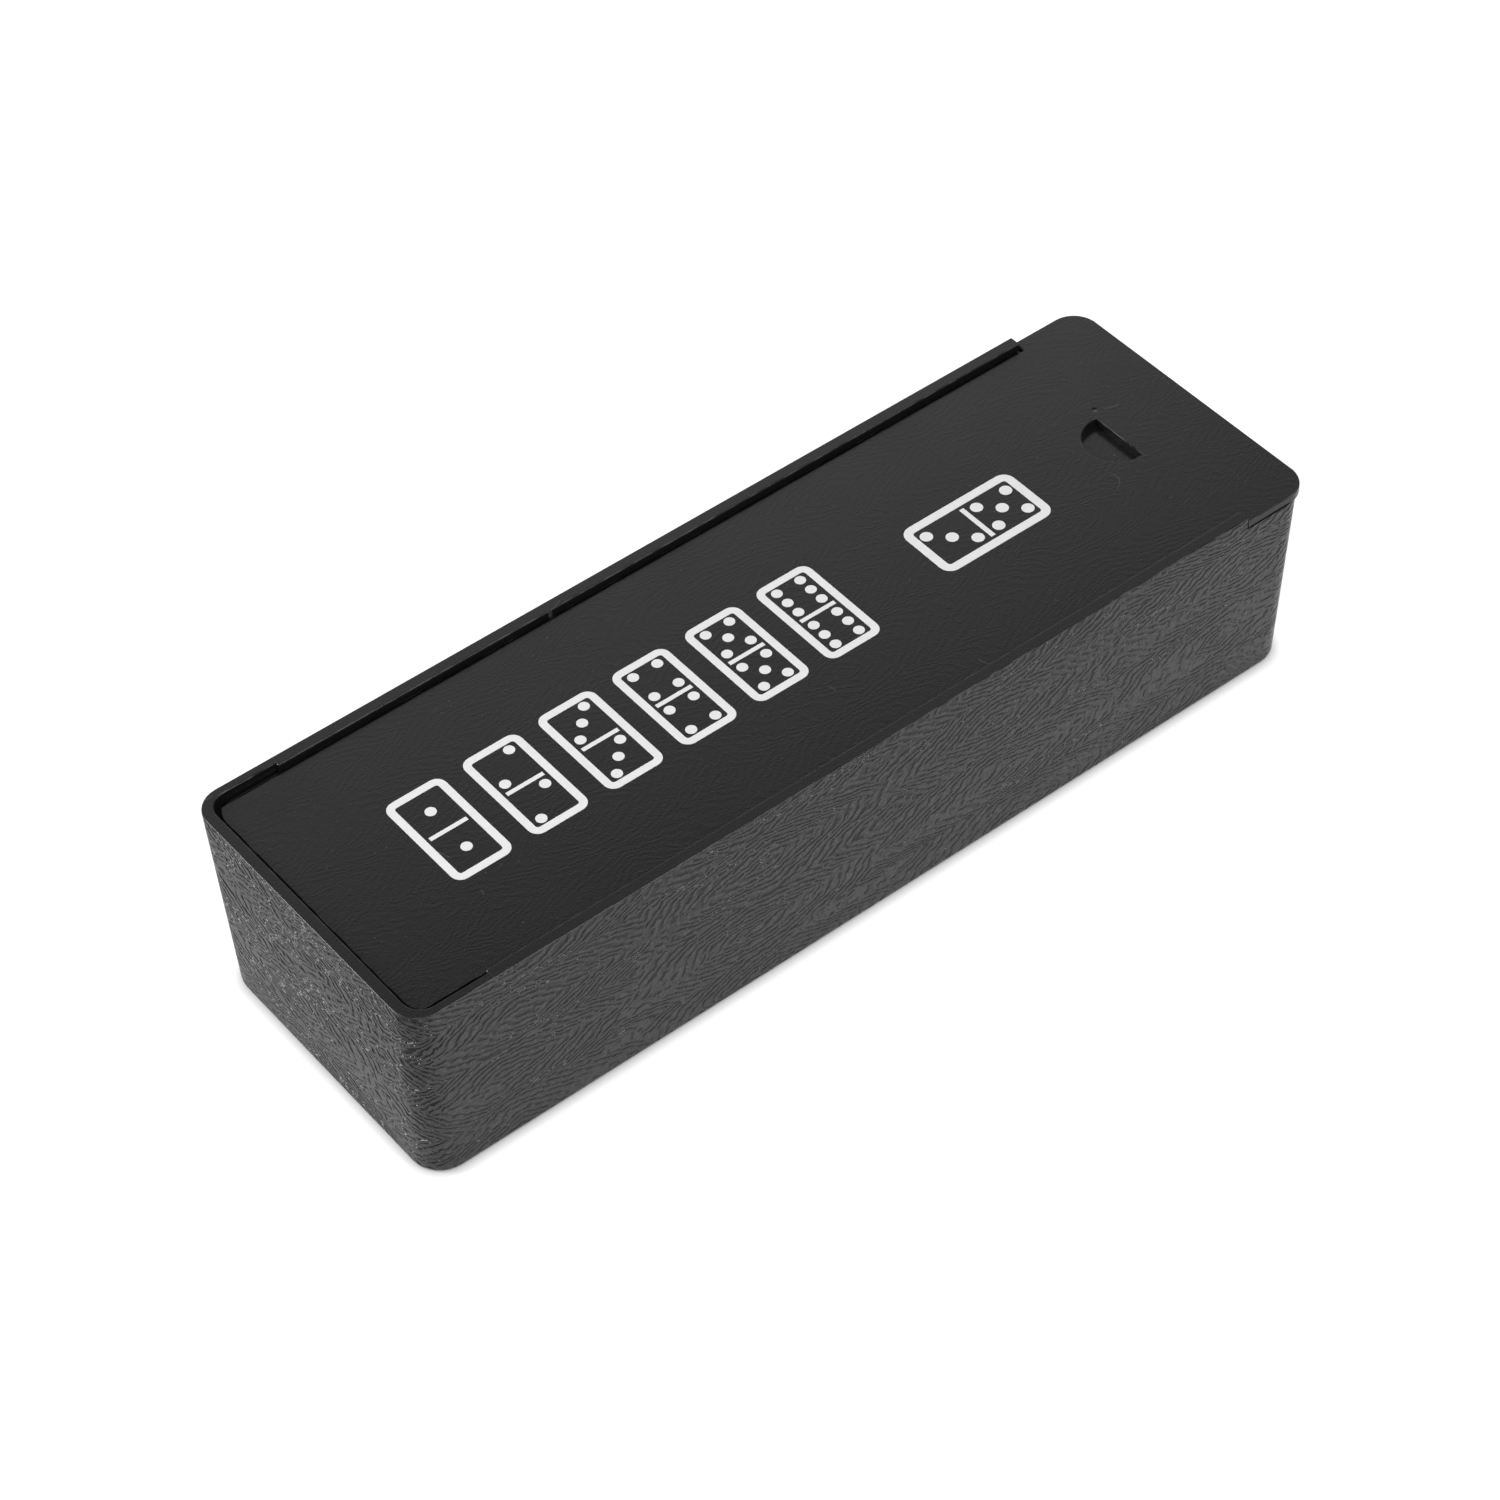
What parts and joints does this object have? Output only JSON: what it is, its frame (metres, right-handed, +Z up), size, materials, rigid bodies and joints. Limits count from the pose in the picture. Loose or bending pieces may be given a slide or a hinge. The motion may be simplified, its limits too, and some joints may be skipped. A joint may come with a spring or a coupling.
{
  "type": "domino storage box",
  "caption": "Long black plastic box with a sliding lid, holding a set of ivory domino tiles in flat layers.",
  "frame": {"origin": "under the middle of the box and its lid, on the surface that the box stands on", "axes": "+X along the box, towards the end where the lid slides off; +Z up; Y across the box"},
  "size_m": [0.1858, 0.0598, 0.04],
  "materials": {
    "tray_plastic": "black moulded plastic, embossed with a fine flowing wood grain on the outer walls, smooth inside",
    "lid_plastic": "black moulded plastic with a smooth satin face",
    "lid_print": "flat pale grey printed motif of tile outlines and dots",
    "tile_plastic": "polished ivory plastic with black painted pips and a black middle line"
  },
  "bodies": {
    "tray": {"tray": "tray_plastic", "domino_0_0": "tile_plastic", "domino_0_1": "tile_plastic", "domino_0_2": "tile_plastic", "domino_0_3": "tile_plastic", "domino_0_4": "tile_plastic", "domino_0_5": "tile_plastic", "domino_0_6": "tile_plastic", "domino_1_1": "tile_plastic", "domino_1_2": "tile_plastic", "domino_1_3": "tile_plastic", "domino_1_4": "tile_plastic", "domino_1_5": "tile_plastic", "domino_1_6": "tile_plastic", "domino_2_2": "tile_plastic", "domino_2_3": "tile_plastic", "domino_2_4": "tile_plastic", "domino_2_5": "tile_plastic", "domino_2_6": "tile_plastic", "domino_3_3": "tile_plastic", "domino_3_4": "tile_plastic", "domino_3_5": "tile_plastic", "domino_3_6": "tile_plastic", "domino_4_4": "tile_plastic", "domino_4_5": "tile_plastic", "domino_4_6": "tile_plastic", "domino_5_5": "tile_plastic", "domino_5_6": "tile_plastic", "domino_6_6": "tile_plastic"},
    "lid": {"lid": "lid_plastic"}
  },
  "joints": [
    {"name": "lid_slide", "type": "slide", "parent": "tray", "child": "lid", "axis": [1, 0, 0], "range_m": [0, 0.168]}
  ]
}
